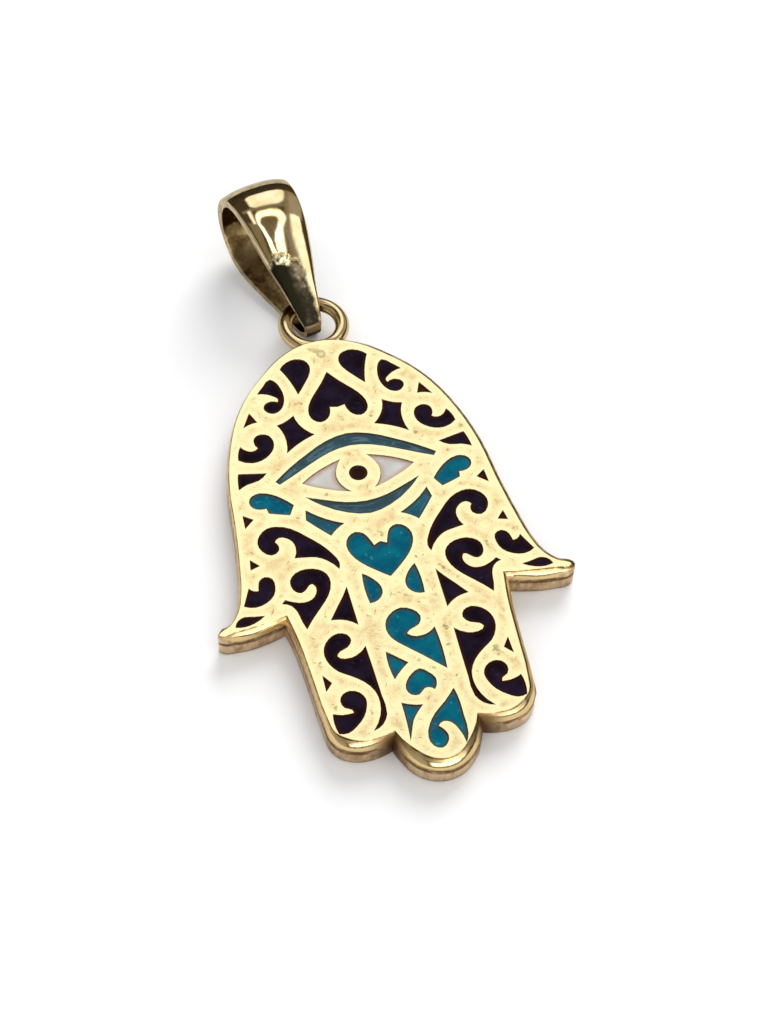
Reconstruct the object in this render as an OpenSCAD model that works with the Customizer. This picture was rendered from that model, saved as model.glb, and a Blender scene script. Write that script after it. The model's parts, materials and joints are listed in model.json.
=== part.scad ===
/* [Hand] */
// Width of the hand over its two thumbs
hand_w = 16; // [14:0.5:22]
// Height of the hand, without the ring
hand_h = 23.5; // [20:0.5:32]
// Thickness of the plate
plate_t = 1.35; // [1.2:0.05:2]
// How far down the rim is rounded at the finger tips
rim_drop = 0.5; // [0.2:0.05:0.6]
// How far in the rim is rounded at the finger tips
rim_in = 0.42; // [0.2:0.02:0.5]

/* [Enamel] */
// Depth of the cells cut into the face
cell_depth = 0.45; // [0.3:0.05:0.6]
// How far the enamel stays below the face
enamel_low = 0.06; // [0.02:0.01:0.12]
// Clearance round the enamel in its cell
enamel_gap = 0.02; // [0.01:0.005:0.04]
// Radius of the pupil
pupil_r = 0.42; // [0.3:0.02:0.55]

/* [Soldered ring] */
// Radius of the ring at the middle of its wire
ring_r = 1.38; // [1.3:0.02:1.5]
// Thickness of the ring's wire
wire_d = 0.68; // [0.5:0.02:0.72]
// Distance from the top of the hand to the middle of the ring
ring_rise = 1.14; // [1.1:0.02:1.4]
// Distance of the ring from the hand's middle line
ring_aside = 0.15; // [0:0.05:0.4]

/* [Bail] */
// Length of the bail as it lies
bail_l = 7.75; // [7.4:0.05:10]
// Width of the bail at its top
bail_w = 3.1; // [2.4:0.1:3.2]
// Depth of the bail at its top, front to back
bail_depth = 4.9; // [4:0.1:5.2]
// Depth of the bail's tail, front to back
tail_depth = 1.44; // [1.4:0.02:1.6]
// Thickness of the bail's wall at its edge
bail_wall = 0.38; // [0.3:0.02:0.5]
// Rise of the front leaf's middle over its edges
bail_rise = 0.3; // [0.1:0.02:0.4]
// Distance from the ring's wire to the middle of the tail's bend
tail_drop = 0.8; // [0.75:0.05:1.5]
// Clearance between the ring's wire and the bail's back leaf
wire_gap = 0.36; // [0.34:0.01:0.4]
// Angle round the ring at which the bail hangs
bail_slide = 13.5; // [0:0.5:20]
// Angle that the bail is turned aside
bail_turn = 12.5; // [0:0.5:20]

/* [Hidden] */

// The face is drawn on squares, counted from the middle of the eye, which lies at 0, 0.
// A square is 1/16 of the hand's width across and 1/23.5 of its height up.
squares_across = 16;
squares_up = 23.5;
outline_steps = 3; // straight pieces between two points of the outline
cell_steps = 2; // straight pieces between two points of a cell
pupil_steps = 32; // straight pieces round the pupil
rim_steps = 3; // straight pieces up the rim's rounding
rim_from = 30; // angle at which the rounding leaves the wall
rim_to = 75; // angle at which it meets the face
miter_least = 0.6; // least divisor at a sharp corner, so that the corner isn't moved too far in
cut_past = 0.05; // how far a cut runs past the metal
ring_steps = 40; // straight pieces round the ring
wire_steps = 18; // straight pieces round its wire

// Half of the hand's outline, from the top of the hand down to the middle finger's end.
// across, up, share of the rim's rounding, 1 at a sharp corner
OUTLINE = [
    [0, 8.1, 0.3], [1, 7.95, 0.3], [1.95, 7.5, 0.3], [3.15, 6.5, 0.3],
    [4.07, 5.5, 0.3], [4.72, 4.5, 0.3], [5.5, 2.6, 0.3], [5.97, 0.6, 0.3],
    [6.18, -1.7, 0.3], [6.45, -3.8, 0.3], [6.68, -5, 0.35], [7.05, -6, 0.4],
    [7.5, -6.58, 0.3], [7.86, -6.82, 0.15], [8, -7, 0.12], [7.84, -7.16, 0.2],
    [7.3, -7.25, 0.6], [6.6, -7.26, 0.8], [5.8, -7.13, 0.7], [5.02, -6.9, 0.4, 1],
    [4.85, -8, 0.4], [4.7, -10, 0.4], [4.6, -12, 0.5], [4.5, -12.85, 0.7],
    [4.22, -13.3, 0.9], [3.82, -13.57, 0.9], [3.3, -13.72, 0.8], [2.6, -13.7, 0.7],
    [1.93, -13.52, 0.5, 1], [1.7, -14.15, 0.8], [1.42, -14.65, 1], [1.1, -14.99, 1],
    [0.6, -15.29, 1], [0, -15.4, 1]
];

// Cells that stand on the middle line, right half only, from the top down.
// across, up, 1 at a sharp corner
HEART_TOP = [
    [0, 6.05, 1], [0.45, 5.4], [0.95, 4.8], [1.3, 4.25], [1.4, 3.75], [1.28, 3.4],
    [0.95, 3.2], [0.6, 3.35], [0.42, 3.65], [0.36, 3.98, 1], [0, 3.9, 1]
];
BROW = [
    [0, 2.31], [1, 2.1], [2, 1.58], [3, 0.96], [3.78, 0.36, 1], [3.62, 0.17, 1],
    [3, 0.47], [2, 0.98], [1, 1.42], [0, 1.6]
];
LID = [[0, -1.6], [1, -1.44], [1.9, -1.1], [2.65, -0.78, 1], [2.05, -1.37], [1, -2.03], [0, -2.29]];
HEART_LOW = [
    [0, -3.86, 1], [0.3, -4.02, 1], [0.42, -3.65], [0.62, -3.28], [0.95, -3.14], [1.3, -3.32],
    [1.5, -3.75], [1.42, -4.25], [1.12, -4.75], [0.6, -5.27], [0, -5.77, 1]
];

// White of the eye, right of the gold ring round the pupil.
// across, up, 1 at a sharp corner
EYE_WHITE = [
    [2.63, 0, 1], [2, 0.4], [1.4, 0.68], [0.62, 0.94, 1], [0.9, 0.5], [1.03, 0], [0.9, -0.5],
    [0.55, -0.94, 1], [1.1, -0.77], [1.6, -0.56], [2.1, -0.33]
];

// Dark cells of the right half, which the left half repeats.
// across, up, 1 at a sharp corner
DROP = [
    [1.62, 5.03, 1], [1.13, 5.65], [0.78, 6.2], [0.71, 6.58], [0.88, 6.97], [1.3, 7.13],
    [1.75, 7.02], [2.12, 6.68, 1], [1.88, 6.1], [1.71, 5.5]
];
SCROLL_TOP = [
    [2.72, 6.2], [3.1, 5.88], [3.48, 5.47, 1], [3.05, 5.36], [2.78, 5.18], [2.6, 4.98],
    [2.65, 4.81, 1], [2.95, 4.92], [3.22, 4.84], [3.37, 4.58], [3.25, 4.32], [2.98, 4.18],
    [2.65, 4.3], [2.42, 4.6], [2.3, 5.05], [2.35, 5.6], [2.52, 6.03]
];
WEDGE_TOP = [[4.09, 4.48, 1], [4.53, 3.68, 1], [4.2, 3.82], [3.84, 3.86, 1]];
SCROLL_SIDE = [
    [3.83, 3.15], [3.5, 3], [3.36, 2.65], [3.43, 2.25], [3.68, 1.93], [4.1, 1.68], [4.55, 1.63],
    [5.15, 1.92, 1], [5.06, 2.35], [4.9, 2.66, 1], [4.68, 2.38], [4.42, 2.28], [4.13, 2.4, 1],
    [4.25, 2.75], [4.15, 3.03]
];
DIAMOND = [
    [2.12, 3.88, 1], [2.5, 3.64], [3, 3.48, 1], [2.84, 3.1], [2.77, 2.5], [2.89, 1.82, 1],
    [2.45, 2.12], [1.97, 2.37], [1.42, 2.58, 1], [1.78, 2.95], [2, 3.33]
];
WEDGE_SIDE = [
    [4.06, 0.93, 1], [4.65, 1.05], [5.33, 1.18, 1], [5.42, 0.8], [5.48, 0.29, 1],
    [5.05, 0.5], [4.5, 0.6]
];
CHIP_HIGH = [[5.63, -1.12, 1], [5.2, -1.44, 1], [5.66, -1.84, 1]];
SCROLL_WRIST = [
    [4.3, -2.04], [4.75, -2.06], [5.12, -2.33], [5.31, -2.75], [5.2, -3.2], [4.83, -3.5],
    [4.47, -3.32], [4.43, -3.1], [4.55, -2.85, 1], [4.32, -2.66], [4.03, -2.74], [3.78, -3],
    [3.71, -3.33], [3.88, -3.88, 1], [3.4, -3.95], [2.92, -4.06], [2.52, -4.33],
    [2.1, -4.88, 1], [2.02, -4.55], [2.2, -4.05], [2.6, -3.43], [3.1, -2.88], [3.7, -2.3]
];
CHIP_LOW = [[5.83, -3.51, 1], [5.47, -3.92, 1], [5.91, -4.05, 1]];
BEAN_THUMB = [
    [5.38, -4.54], [5.65, -4.67], [5.76, -4.95], [5.8, -5.18, 1], [6, -5.15], [6.2, -4.95, 1],
    [6.38, -5.35], [6.6, -5.82, 1], [6.1, -5.99], [5.6, -5.87], [5.2, -5.55], [5.05, -5.1],
    [5.1, -4.7]
];
SCROLL_PALM = [
    [3.55, -4.55], [4.05, -4.66], [4.35, -4.98], [4.38, -5.28], [4.25, -5.6], [4.02, -5.72],
    [3.78, -5.6], [3.58, -5.4], [3.44, -5.37, 1], [3.33, -5.58], [3.4, -5.9], [3.65, -6.15],
    [4.02, -6.22], [4.45, -6.1], [4.8, -5.9, 1], [4.97, -6.08, 1], [4.58, -6.28], [4.4, -6.65],
    [4.32, -7.15], [4.2, -7.58, 1], [3.85, -7.15], [3.35, -6.63], [2.9, -6.1], [2.65, -5.5],
    [2.7, -5.03], [3, -4.7]
];
SLIVER = [
    [5.82, -6.49, 1], [6.3, -6.42], [6.7, -6.35], [6.98, -6.45], [7.18, -6.78, 1],
    [6.78, -6.85], [6.35, -6.77]
];
WEDGE_PALM = [
    [2.02, -5.85, 1], [2.3, -6.3], [2.63, -6.73], [3.1, -7.38, 1], [2.75, -7.43],
    [2.42, -7.55], [2, -7.87, 1]
];
SCROLL_FINGER = [
    [2.98, -8.09], [3.42, -8.27], [3.72, -8.65], [3.8, -9.05], [3.7, -9.5], [3.4, -9.95],
    [2.95, -10.27], [2.45, -10.7], [2.12, -11.25], [2.06, -11.8], [2.2, -12.4],
    [2.65, -13.06, 1], [2.2, -12.85], [1.92, -12.42], [1.91, -11.5], [1.93, -10.3],
    [1.97, -8.98, 1], [2.45, -9.33], [2.95, -9.4], [3.27, -9.2], [3.1, -9], [2.75, -8.87],
    [2.5, -8.55], [2.63, -8.22]
];
CHIP_FINGER = [[4.12, -9.97, 1], [3.81, -10.42, 1], [4.14, -10.78, 1]];
SCROLL_TIP = [
    [3.15, -10.97], [3.5, -11.06], [3.68, -11.37], [3.57, -11.72], [3.3, -11.87],
    [3.25, -12.03, 1], [3.7, -12.03], [4.13, -11.89, 1], [4.18, -12.35], [4.1, -12.87, 1],
    [3.7, -12.92], [3.3, -12.7], [2.9, -12.33], [2.67, -11.9], [2.6, -11.5], [2.78, -11.15]
];
DARK_PAIRS = [
    DROP, SCROLL_TOP, WEDGE_TOP, SCROLL_SIDE, DIAMOND, WEDGE_SIDE, CHIP_HIGH, SCROLL_WRIST,
    CHIP_LOW, BEAN_THUMB, SCROLL_PALM, SLIVER, WEDGE_PALM, SCROLL_FINGER, CHIP_FINGER, SCROLL_TIP
];

// Teal cells of the right half, which the left half repeats.
// across, up, 1 at a sharp corner
BEAN_SIDE = [
    [3.27, -1.08, 1], [3.7, -0.6], [4.12, -0.27], [4.62, -0.09], [5, -0.18], [5.19, -0.48],
    [5.08, -0.82], [4.8, -0.97], [4.5, -0.98, 1], [4.45, -1.27, 1], [4, -1.43], [3.55, -1.57, 1]
];
LEAF = [
    [2.82, -1.47, 1], [2.92, -2.02, 1], [2.55, -2.48], [2.03, -3.08, 1], [1.7, -2.79],
    [1.3, -2.56, 1], [1.8, -2.3], [2.35, -1.92]
];
PETAL = [
    [1.2, -5.35, 1], [1.28, -6.15], [1.23, -6.93, 1], [0.85, -6.85], [0.58, -6.55],
    [0.55, -6.2], [0.67, -5.92], [0.93, -5.58]
];
TEAL_PAIRS = [BEAN_SIDE, LEAF, PETAL];

// Teal cells of the middle finger, which has no mirror line.
// across, up, 1 at a sharp corner
FINGER_SCROLL = [
    [0, -7.46], [0.45, -7.65], [0.72, -8.05], [0.55, -8.45], [0.1, -8.63], [-0.08, -8.78, 1],
    [0.1, -8.95], [0.5, -9.03], [0.9, -8.93], [1.18, -8.72, 1], [1.22, -9.8], [1.15, -10.85, 1],
    [0.75, -10.45], [0.3, -9.98], [-0.35, -9.35], [-0.78, -8.85], [-0.9, -8.4], [-0.78, -7.93],
    [-0.4, -7.57]
];
FINGER_WEDGE = [
    [-1.2, -9.45, 1], [-0.8, -9.83], [-0.4, -10.2, 1], [-0.8, -10.5], [-1.17, -10.87, 1],
    [-1.25, -10.2]
];
FINGER_BEAN = [
    [0, -10.6], [0.3, -10.85], [0.53, -11.2], [0.5, -11.5], [0.36, -11.73, 1], [0.15, -11.58],
    [-0.05, -11.58], [-0.35, -11.83], [-0.68, -11.75], [-0.83, -11.45], [-0.7, -11.08],
    [-0.38, -10.75]
];
FINGER_FANG = [
    [-1.2, -12.03, 1], [-0.85, -12.2], [-0.33, -12.33, 1], [-0.62, -12.6], [-0.92, -12.97],
    [-1.1, -13.4], [-1.28, -13.85, 1], [-1.22, -13.1]
];
FINGER_CURL = [
    [1.15, -11.85, 1], [0.6, -12.4], [0.05, -12.85], [-0.3, -13.3], [-0.52, -13.9],
    [-0.4, -14.33], [-0.08, -14.5], [0.2, -14.32], [0.32, -14], [0.22, -13.7], [0.03, -13.47, 1],
    [0.3, -13.3], [0.6, -13.42], [0.82, -13.8], [0.97, -14.5, 1], [1.15, -14.1], [1.2, -13.2],
    [1.22, -12.5]
];
FINGER_CELLS = [FINGER_SCROLL, FINGER_WEDGE, FINGER_BEAN, FINGER_FANG, FINGER_CURL];

// Sections of the bail from its tail to its top, as shares of the bail's length, width, wall and rise.
// along, width, wall at the edge, rise of the middle
BAIL = [
    [0, 0.25, 0.72, 0.1], [0.11, 0.39, 0.72, 0.15], [0.27, 0.55, 0.72, 0.3], [0.39, 0.72, 0.85, 0.55],
    [0.55, 0.89, 0.95, 0.85], [0.7, 0.97, 1, 1], [0.85, 1, 1, 1], [1, 1, 1, 0.8]
];
at_wire = BAIL[2]; // the section of the back leaf that lies under the ring's wire
back_rise = 0.25; // share of the rise that the back leaf has
flat_share = 0.55; // share of the bail's width that its middle flat takes
tail_steps = 10; // straight pieces round the tail
leaf_steps = 7; // straight pieces along a leaf
top_steps = 16; // straight pieces round the top

// Side view of the bail: a small circle at the tail, a large one at the top and two leaves between.
// It lies on its back leaf. Its places count from the ring's wire along the ground and up from it.
tail_r = tail_depth / 2;
top_r = bail_depth / 2;
tail_mid = [-tail_drop, tail_r];
top_mid = [bail_l - tail_drop - tail_r - top_r, top_r];
mid_dist = norm(top_mid - tail_mid);
mid_angle = asin((top_r - tail_r) / mid_dist);
bail_axis = [cos(mid_angle), sin(mid_angle)];
front_angle = 90 + 2 * mid_angle;

// The ring stands above the back leaf, so that the bail's leaf passes under its wire
wire_r = wire_d / 2;
tail_wall = at_wire[2] * bail_wall + at_wire[3] * bail_rise * back_rise;
ring_z = tail_wall + wire_gap + wire_r;
hand_top = on_hand(OUTLINE[0])[1];
finger_end = on_hand(OUTLINE[len(OUTLINE) - 1])[1];
ring_y = hand_top + ring_rise;
pivot =[ring_aside - ring_r * sin(bail_slide), ring_y + ring_r * cos(bail_slide)];

// Curves: a row past its plain columns holds a 1 and is a sharp corner
function plain(row, n) = [for (k = [0 : n - 1]) row[k]];
function unit(v) = v / max(norm(v), 1e-9);
function place(rows, i, n) = plain(rows[(i + len(rows)) % len(rows)], n);
function is_sharp(rows, i, n) = len(rows[(i + len(rows)) % len(rows)]) > n;
function heading(rows, i, n) =
    let (before = place(rows, i, n) - place(rows, i - 1, n), after = place(rows, i + 1, n) - place(rows, i, n))
    unit(unit(before) * norm(after) + unit(after) * norm(before));
function bend(a, b, u, v, t) =
    a * (2 * t * t * t - 3 * t * t + 1) + u * (t * t * t - 2 * t * t + t)
    + b * (3 * t * t - 2 * t * t * t) + v * (t * t * t - t * t);
function mirrored(v, chord) = let (c = unit(chord)) 2 * (v * c) * c - v;
function piece(rows, i, n, most) =
    let (
        a = place(rows, i, n),
        b = place(rows, i + 1, n),
        from_a = norm(b - a) * heading(rows, i, n),
        from_b = norm(b - a) * heading(rows, i + 1, n),
        both = is_sharp(rows, i, n) && is_sharp(rows, i + 1, n),
        u = is_sharp(rows, i, n) ? mirrored(from_b, b - a) : from_a,
        v = is_sharp(rows, i + 1, n) ? mirrored(from_a, b - a) : from_b,
        steps = both ? 1 : most
    )
    [for (k = [0 : steps - 1]) bend(a, b, u, v, k / steps)];
function loop(rows, n = 2, most = cell_steps) = [for (i = [0 : len(rows) - 1]) each piece(rows, i, n, most)];
function flip(row) = [for (k = [0 : len(row) - 1]) k == 0 ? -row[0] : row[k]];
function both_halves(rows) = concat(rows, [for (i = [len(rows) - 2 : -1 : 1]) flip(rows[i])]);

// Squares of the design to millimetres
function on_hand(p) = [p[0] * hand_w / squares_across, p[1] * hand_h / squares_up];
function drawn(rows) = [for (p = loop(rows)) on_hand(p)];

// An outline's corners, moved inwards at each point by its own distance
function turn_sum(ps) =
    let (n = len(ps))
    [for (i = [0 : n - 1]) cross(ps[i], ps[(i + 1) % n])] * [for (p = ps) 1];
function inward(ps, i) =
    let (
        n = len(ps),
        side = turn_sum(ps) > 0 ? 1 : -1,
        e = unit(ps[i] - ps[(i + n - 1) % n]),
        f = unit(ps[(i + 1) % n] - ps[i]),
        m = side * [-e[1] - f[1], e[0] + f[0]]
    )
    m / max(1 + e * f, miter_least);
function inset(ps, d) = [for (i = [0 : len(ps) - 1]) ps[i] + d * inward(ps, i)];

outline_rows = loop(both_halves(OUTLINE), 3, outline_steps);
outline = [for (p = outline_rows) on_hand(p)];
function middles(tables) = [for (c = tables) drawn(both_halves(c))];
function pairs(tables) = [for (c = tables) let (right = drawn(c)) each [right, [for (p = right) flip(p)]]];
dark_cells = concat(middles([HEART_TOP]), pairs(DARK_PAIRS));
teal_cells = concat(middles([BROW, LID, HEART_LOW]), pairs(TEAL_PAIRS), [for (c = FINGER_CELLS) drawn(c)]);
white_cells = pairs([EYE_WHITE]);
eye_mid = on_hand([0, 0]);

// Faces of a tube of equal rings that closes on itself
function tube_faces(rings, sides) = [
    for (i = [0 : rings - 1], k = [0 : sides - 1])
    let (
        a = i * sides + k,
        b = i * sides + (k + 1) % sides,
        c = ((i + 1) % rings) * sides + (k + 1) % sides,
        d = ((i + 1) % rings) * sides + k
    )
    each [[a, b, c], [a, c, d]]
];

module on_ground() {
    translate([0, base_y, 0]) children();
}

// Side view of the rim's rounding from the wall up to the face: inwards and down, for a point's share.
// It meets the wall and the face at a slight crease.
function rim_point(share, a) = [
    rim_in * share * (cos(rim_from) - cos(a)) / (cos(rim_from) - cos(rim_to)),
    -rim_drop * min(1, 2 * share) * (sin(rim_to) - sin(a)) / (sin(rim_to) - sin(rim_from))
];
function rim_arc(share) =
    [for (k = [0 : rim_steps]) rim_point(share, rim_from + (rim_to - rim_from) * k / rim_steps)];
function beyond(a, b, x_step, z_step) =
    a + (a - b) * min(x_step / abs(a[0] - b[0]), z_step / abs(a[1] - b[1]));
function rim_section(share) =
    let (
        arc = rim_arc(share),
        low = beyond(arc[0], arc[1], cut_past, plate_t),
        high = beyond(arc[rim_steps], arc[rim_steps - 1], plate_t, cut_past)
    )
    concat([low], [for (k = [1 : rim_steps - 1]) arc[k]], [high, [low[0], high[1]]]);

// What the rounding takes off the plate's upper edge
module rim_cut() {
    points = [
        for (i = [0 : len(outline) - 1])
        let (way = inward(outline, i))
        for (q = rim_section(outline_rows[i][2]))
        [outline[i][0] + way[0] * q[0], outline[i][1] + way[1] * q[0], plate_t + q[1]]
    ];
    polyhedron(points, tube_faces(len(outline), rim_steps + 2));
}

// Every cell of the face
module cells() {
    translate([0, 0, plate_t - cell_depth]) linear_extrude(cell_depth + cut_past) {
        for (c = concat(dark_cells, teal_cells, white_cells)) polygon(c);
        translate(eye_mid) circle(r = pupil_r, $fn = pupil_steps);
    }
}

module hamsa_body() {
    color("gold") on_ground() {
        difference() {
            linear_extrude(plate_t) polygon(outline);
            cells();
            rim_cut();
        }
        translate([ring_aside, ring_y, ring_z])
            rotate_extrude($fn = ring_steps) translate([ring_r, 0]) circle(r = wire_r, $fn = wire_steps);
    }
}

// Lays a flat shape into the cells as enamel
module enamel() {
    floor_z = plate_t - cell_depth + enamel_gap;
    on_ground() translate([0, 0, floor_z]) linear_extrude(plate_t - enamel_low - floor_z) children();
}

module enamel_dark() {
    color("indigo") enamel() for (c = dark_cells) polygon(inset(c, enamel_gap));
}

module enamel_teal() {
    color("teal") enamel() for (c = teal_cells) polygon(inset(c, enamel_gap));
}

module enamel_white() {
    color("lightgray") enamel() for (c = white_cells) polygon(inset(c, enamel_gap));
}

module pupil() {
    color("black") enamel() translate(eye_mid) circle(r = pupil_r - enamel_gap, $fn = pupil_steps);
}

// The bail's side view as rows: along the ground, up, and its outward direction
function arc_rows(mid, r, from, to, steps) = [
    for (k = [0 : steps])
    let (a = from + (to - from) * k / steps, out = [cos(a), sin(a)])
    concat(mid + r * out, out)
];
function leaf_rows(a, b) = [for (k = [1 : leaf_steps - 1]) a + (b - a) * k / leaf_steps];
tail_arc = arc_rows(tail_mid, tail_r, front_angle, 270, tail_steps);
top_arc = arc_rows(top_mid, top_r, -90, front_angle, top_steps);
back_leaf = leaf_rows(tail_arc[tail_steps], top_arc[0]);
front_leaf = leaf_rows(top_arc[top_steps], tail_arc[0]);
side_view = concat(tail_arc, back_leaf, top_arc, front_leaf);

// One section across the bail, from its inner edge over the flat middle to the other inner edge
function bail_share(s, column) = lookup(s, [for (row = BAIL) [row[0], row[column]]]);
function bail_ring(row) =
    let (
        s = (([row[0], row[1]] - tail_mid) * bail_axis + tail_r) / (mid_dist + tail_r + top_r),
        half = bail_share(s, 1) * bail_w / 2,
        wall = bail_share(s, 2) * bail_wall,
        front = back_rise + (1 - back_rise) * (1 + row[3]) / 2,
        rise = bail_share(s, 3) * bail_rise * front,
        flat = flat_share * half,
        out = [row[2], row[3]],
        mid = [row[0], row[1]],
        left = [[-half, rise + wall], [-half, rise], [-flat, 0]],
        right = [[flat, 0], [half, rise], [half, rise + wall]]
    )
    [for (q = concat(left, right)) [q[0], mid[0] - out[0] * q[1], mid[1] - out[1] * q[1]]];

bail_points = [for (row = side_view) each bail_ring(row)];

// The whole part is centred over the ground, from the middle finger's end to the top of the bail
top_y = pivot[1] + max([for (p = bail_points) p[0] * sin(bail_turn) + p[1] * cos(bail_turn)]);
base_y = -(top_y + finger_end) / 2;

module bail() {
    color("goldenrod") on_ground() translate(pivot) rotate(bail_turn)
        polyhedron(bail_points, tube_faces(len(side_view), 6));
}

hamsa_body();
enamel_dark();
enamel_teal();
enamel_white();
pupil();
bail();
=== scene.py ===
# %% [markdown]
# # A gold hand pendant with sunk enamel
#
# The real piece is a flat gold casting in the shape of a hand. Pockets are sunk into its face and filled
# with coloured enamel, a round ring is soldered to its wrist end, and a tapered bail hangs on that ring.
# This lesson dresses the CAD model of it: each piece gets its small rounded edges, its finish and its
# wear, and a small photo studio is built round it.

# %% Load the frame
import json
import math

import bmesh
import bpy
from mathutils import Matrix, Vector, noise as cloud
from mathutils.bvhtree import BVHTree
from mathutils.kdtree import KDTree

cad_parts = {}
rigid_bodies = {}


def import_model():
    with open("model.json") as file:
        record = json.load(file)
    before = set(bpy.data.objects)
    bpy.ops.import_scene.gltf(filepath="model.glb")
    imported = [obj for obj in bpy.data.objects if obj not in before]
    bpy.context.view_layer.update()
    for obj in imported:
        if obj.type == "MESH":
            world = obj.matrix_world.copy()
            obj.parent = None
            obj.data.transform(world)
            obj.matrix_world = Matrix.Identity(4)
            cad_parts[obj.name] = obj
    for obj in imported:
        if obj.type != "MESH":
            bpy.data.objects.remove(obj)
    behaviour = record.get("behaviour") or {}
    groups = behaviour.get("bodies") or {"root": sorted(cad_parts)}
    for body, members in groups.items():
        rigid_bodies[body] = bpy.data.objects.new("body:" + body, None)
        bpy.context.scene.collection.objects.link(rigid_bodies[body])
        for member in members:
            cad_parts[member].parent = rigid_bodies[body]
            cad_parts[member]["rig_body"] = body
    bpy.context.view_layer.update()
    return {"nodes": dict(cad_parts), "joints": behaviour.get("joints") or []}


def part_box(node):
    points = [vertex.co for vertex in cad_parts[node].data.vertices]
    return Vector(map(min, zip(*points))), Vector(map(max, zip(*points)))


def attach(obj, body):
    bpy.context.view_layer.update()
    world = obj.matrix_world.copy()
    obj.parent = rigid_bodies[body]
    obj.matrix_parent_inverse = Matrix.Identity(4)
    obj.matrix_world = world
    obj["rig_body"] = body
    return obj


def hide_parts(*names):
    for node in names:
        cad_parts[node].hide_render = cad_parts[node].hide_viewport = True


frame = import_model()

MM = 0.001  # everything in the scene is in metres
nodes = frame["nodes"]
scene = bpy.context.scene
print("nodes:", sorted(nodes))

# %% [markdown]
# ## Where the eye is
#
# The photo was measured from the middle of the eye on the gold face. The pupil's own box gives that point
# in the model, so the camera and the patterns below stay in place if the model changes.

# %% Find the eye, the face and the bail's hinge
ENAMEL_LOW = 0.06 * MM  # the enamel lies this far below the gold
pupil_low, pupil_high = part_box("pupil")
eye = Vector(((pupil_low.x + pupil_high.x) / 2, (pupil_low.y + pupil_high.y) / 2, pupil_high.z + ENAMEL_LOW))
face_z = eye.z
hinge = frame["joints"][0]
hinge_at = Vector(hinge["pos_m"])
bail_across = Vector(hinge["axis"]).normalized()
bail_along = Vector((-bail_across.y, bail_across.x, 0.0))
print("eye in mm:", [round(v / MM, 3) for v in eye])

# %% [markdown]
# ## The camera
#
# The camera stands over the finger ends and looks down at 55 degrees, a little from the left and a little
# rolled. Its place is given by its distance and by how far the eye lies from the middle of the picture.

# %% Make the camera
CAMERA_ELEVATION = math.radians(55)
CAMERA_SIDE = math.radians(-17.4288)
CAMERA_ROLL = math.radians(-3.26807)
CAMERA_LENS = 70.3125  # mm, on a sensor 36 mm along the picture's long side
EYE_IN_VIEW = Vector((-1.17266, -1.79209, 91.0539)) * MM  # right, down and forward from the camera

back = Vector((
    math.sin(CAMERA_SIDE) * math.cos(CAMERA_ELEVATION),
    -math.cos(CAMERA_SIDE) * math.cos(CAMERA_ELEVATION),
    math.sin(CAMERA_ELEVATION),
))
level = (-back).cross(Vector((0, 0, 1))).normalized()
below = (-back).cross(level)
right = math.cos(CAMERA_ROLL) * level + math.sin(CAMERA_ROLL) * below
down = -math.sin(CAMERA_ROLL) * level + math.cos(CAMERA_ROLL) * below
stand = eye - (EYE_IN_VIEW.x * right + EYE_IN_VIEW.y * down - EYE_IN_VIEW.z * back)

camera_data = bpy.data.cameras.new("camera")
camera_data.lens = CAMERA_LENS
camera_data.sensor_width = 36
camera_data.clip_start = 5 * MM
camera_data.clip_end = 20
camera = bpy.data.objects.new("camera", camera_data)
scene.collection.objects.link(camera)
axes = Matrix((right, -down, back)).transposed().to_4x4()
camera.matrix_world = Matrix.Translation(stand) @ axes
scene.camera = camera
print("camera in mm:", [round(v / MM, 1) for v in camera.matrix_world.translation])

# %% [markdown]
# ## Nodes without clicking
#
# A material is a small graph. These helpers add a node, set its sockets by name and return the output
# that the next node needs, so each finish below reads as a list of steps.

# %% Helpers for node graphs
def plug(tree, socket, value):
    """Links an output to a socket, or sets the socket to a number or a colour."""
    if isinstance(value, bpy.types.NodeSocket):
        tree.links.new(value, socket)
    elif socket.type == "RGBA" and len(value) == 3:
        socket.default_value = (*value, 1.0)
    else:
        socket.default_value = value


def add_node(tree, kind, options=None, **sockets):
    """Adds a node. Options are its settings, sockets its inputs, as values or as outputs to link."""
    made = tree.nodes.new(kind)
    for key, value in (options or {}).items():
        setattr(made, key, value)
    for key, value in sockets.items():
        wanted = key.replace("_", " ").lower()
        plug(tree, [s for s in made.inputs if s.name.lower() == wanted and s.enabled][0], value)
    return made


def maths(tree, operation, *values):
    """One step of arithmetic on numbers or outputs."""
    made = tree.nodes.new("ShaderNodeMath")
    made.operation = operation
    for socket, value in zip(made.inputs, values):
        plug(tree, socket, value)
    return made.outputs[0]


def product(tree, *values):
    """Multiplies numbers or outputs."""
    total = values[0]
    for value in values[1:]:
        total = maths(tree, "MULTIPLY", total, value)
    return total


def greatest(tree, *values):
    """The greatest of some numbers or outputs."""
    top = values[0]
    for value in values[1:]:
        top = maths(tree, "MAXIMUM", top, value)
    return top


def ramp(tree, value, low, high, start=0.0, end=1.0):
    """Turns low..high of a value into start..end with soft ends."""
    made = tree.nodes.new("ShaderNodeMapRange")
    made.interpolation_type = "SMOOTHSTEP"
    names = ("Value", "From Min", "From Max", "To Min", "To Max")
    for name, number in zip(names, (value, low, high, start, end)):
        plug(tree, made.inputs[name], number)
    return made.outputs["Result"]


def band(tree, value, start, full, fading, gone):
    """1 from full to fading, and 0 before start and after gone."""
    return product(tree, ramp(tree, value, start, full), ramp(tree, value, gone, fading))


def mix_colours(tree, share, first, second):
    """Mixes two colours by a share."""
    made = tree.nodes.new("ShaderNodeMix")
    made.data_type = "RGBA"
    for socket, value in zip((made.inputs[0], made.inputs[6], made.inputs[7]), (share, first, second)):
        plug(tree, socket, value)
    return made.outputs[2]


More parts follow.
